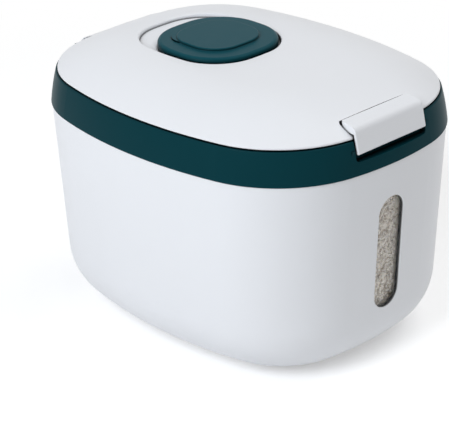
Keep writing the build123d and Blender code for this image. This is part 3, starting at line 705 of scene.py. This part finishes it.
class RICEBIN_OT_fill_rice(bpy.types.Operator):
    """Fill the tub with rice: a heap, with loose grains on its top and against the window"""

    bl_idname = "rice_bin.fill_rice"
    bl_label = "Rice"

    def execute(self, context):
        rice = context.scene.rice_bin.rice
        draw = np.random.default_rng(rice.seed)
        walls = node_tree_of("tub", "window_pane", "window_gasket")
        material = rice_finish(rice)
        heap = mesh_piece("rice_heap", *heap_mesh(rice, walls), material)
        top = mesh_piece("rice_top_grains", *scattered(rice, top_spots(rice, walls, draw)), material)
        pane = mesh_piece("rice_window_grains", *scattered(rice, pane_spots(rice, draw)), material)
        for piece in (heap, top, pane):
            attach(piece, "bin")
        return {"FINISHED"}


class RICEBIN_OT_set_stage(bpy.types.Operator):
    """Set the pale floor, the soft lamps, the white surround and the camera"""

    bl_idname = "rice_bin.set_stage"
    bl_label = "Stage"

    def execute(self, context):
        stage = context.scene.rice_bin.stage
        self.add_floor(stage)
        self.add_surround(context.scene, stage)
        self.add_lamp("key_lamp", stage.key, stage.key_tint, stage.key_size, stage.key_place)
        self.add_lamp("fill_lamp", stage.fill, stage.fill_tint, stage.fill_size, stage.fill_place)
        self.add_camera(context.scene, stage)
        context.scene.view_settings.view_transform = "Standard"
        return {"FINISHED"}

    def add_floor(self, stage):
        finish = Finish("pale_floor")
        speckle = finish.noise(FLOOR_SPECKLE, 3.0)
        shade = finish.mix(speckle * 0.3, stage.floor, [c * FLOOR_SPECKLE_TONE for c in stage.floor])
        paint = finish.node("ShaderNodeBsdfDiffuse", None, {"Color": shade})
        glow = finish.node("ShaderNodeEmission", None, {"Strength": stage.floor_lift})
        lifted = finish.node("ShaderNodeAddShader", None, {0: paint, 1: glow})
        white = finish.node("ShaderNodeEmission", None, {"Strength": 1.0})
        away = finish.node("ShaderNodeVectorMath", {"operation": "LENGTH"}, {0: finish.place()}, "Value")
        far = away.clamped(stage.shadow_reach / 2, stage.shadow_reach)
        lit_top = finish.node("ShaderNodeMixShader", None, {0: far, 1: lifted, 2: white})
        shown = finish.node("ShaderNodeMixShader", None, {0: finish.seen(), 1: paint, 2: lit_top})
        below = finish.node("ShaderNodeNewGeometry", output="Backfacing")
        clear = finish.node("ShaderNodeBsdfTransparent")
        whole = finish.node("ShaderNodeMixShader", None, {0: below, 1: shown, 2: clear})
        finish.node("ShaderNodeOutputMaterial", None, {"Surface": whole})
        half = stage.floor_size / 2
        corners = [(-half, -half, 0), (half, -half, 0), (half, half, 0), (-half, half, 0)]
        mesh_piece("floor", corners, [(0, 1, 2, 3)], finish.owner)

    def add_surround(self, scene, stage):
        finish = Finish("white_surround", "worlds")
        light = finish.node("ShaderNodeBackground", None, {"Color": WHITE, "Strength": stage.sky})
        white = finish.node("ShaderNodeBackground", None, {"Color": WHITE, "Strength": 1.0})
        both = finish.node("ShaderNodeMixShader", None, {0: finish.seen(), 1: light, 2: white})
        finish.node("ShaderNodeOutputWorld", None, {"Surface": both})
        scene.world = finish.owner

    def add_lamp(self, name, power, tint, side, place):
        lamp = bpy.data.lights.new(name, "AREA")
        lamp.energy = power
        lamp.color = tint
        lamp.size = side
        piece = bpy.data.objects.new(name, lamp)
        piece.location = place
        piece.rotation_mode = "QUATERNION"
        middle = (cad_box[0] + cad_box[1]) / 2
        piece.rotation_quaternion = (middle - Vector(place)).to_track_quat("-Z", "Y")
        bpy.context.scene.collection.objects.link(piece)

    def add_camera(self, scene, stage):
        camera = bpy.data.cameras.new("camera")
        camera.lens = stage.lens
        camera.sensor_width = stage.sensor
        piece = bpy.data.objects.new("camera", camera)
        piece.location = stage.place
        piece.rotation_mode = "QUATERNION"
        sight = (Vector(stage.aim) - Vector(stage.place)).to_track_quat("-Z", "Y")
        piece.rotation_quaternion = sight @ Quaternion((0, 0, 1), stage.roll)
        scene.collection.objects.link(piece)
        scene.camera = piece


class RICEBIN_PT_panel(bpy.types.Panel):
    """Lists the steps that dress the bin, and its settings"""

    bl_label = "Rice Bin"
    bl_idname = "RICEBIN_PT_panel"
    bl_space_type = "VIEW_3D"
    bl_region_type = "UI"
    bl_category = "Rice Bin"

    def draw(self, context):
        column = self.layout.column()
        for step in STEPS:
            column.operator(step.bl_idname)
        settings = context.scene.rice_bin
        for group in (settings.finish, settings.rice, settings.stage):
            for key in group.bl_rna.properties.keys():
                if key not in ("rna_type", "name"):
                    column.prop(group, key)


STEPS = (
    RICEBIN_OT_dress_white,
    RICEBIN_OT_dress_green,
    RICEBIN_OT_dress_window,
    RICEBIN_OT_dress_soft,
    RICEBIN_OT_dress_steel,
    RICEBIN_OT_fill_rice,
    RICEBIN_OT_set_stage,
)
CLASSES = (FinishSettings, RiceSettings, StageSettings, RiceBinSettings, *STEPS, RICEBIN_PT_panel)


def register():
    for part in CLASSES:
        bpy.utils.register_class(part)
    bpy.types.Scene.rice_bin = PointerProperty(type=RiceBinSettings)


def unregister():
    del bpy.types.Scene.rice_bin
    for part in reversed(CLASSES):
        bpy.utils.unregister_class(part)


def main():
    register()
    bpy.ops.rice_bin.dress_white()
    bpy.ops.rice_bin.dress_green()
    bpy.ops.rice_bin.dress_window()
    bpy.ops.rice_bin.dress_soft()
    bpy.ops.rice_bin.dress_steel()
    bpy.ops.rice_bin.fill_rice()
    bpy.ops.rice_bin.set_stage()


if __name__ == "__main__":
    main()
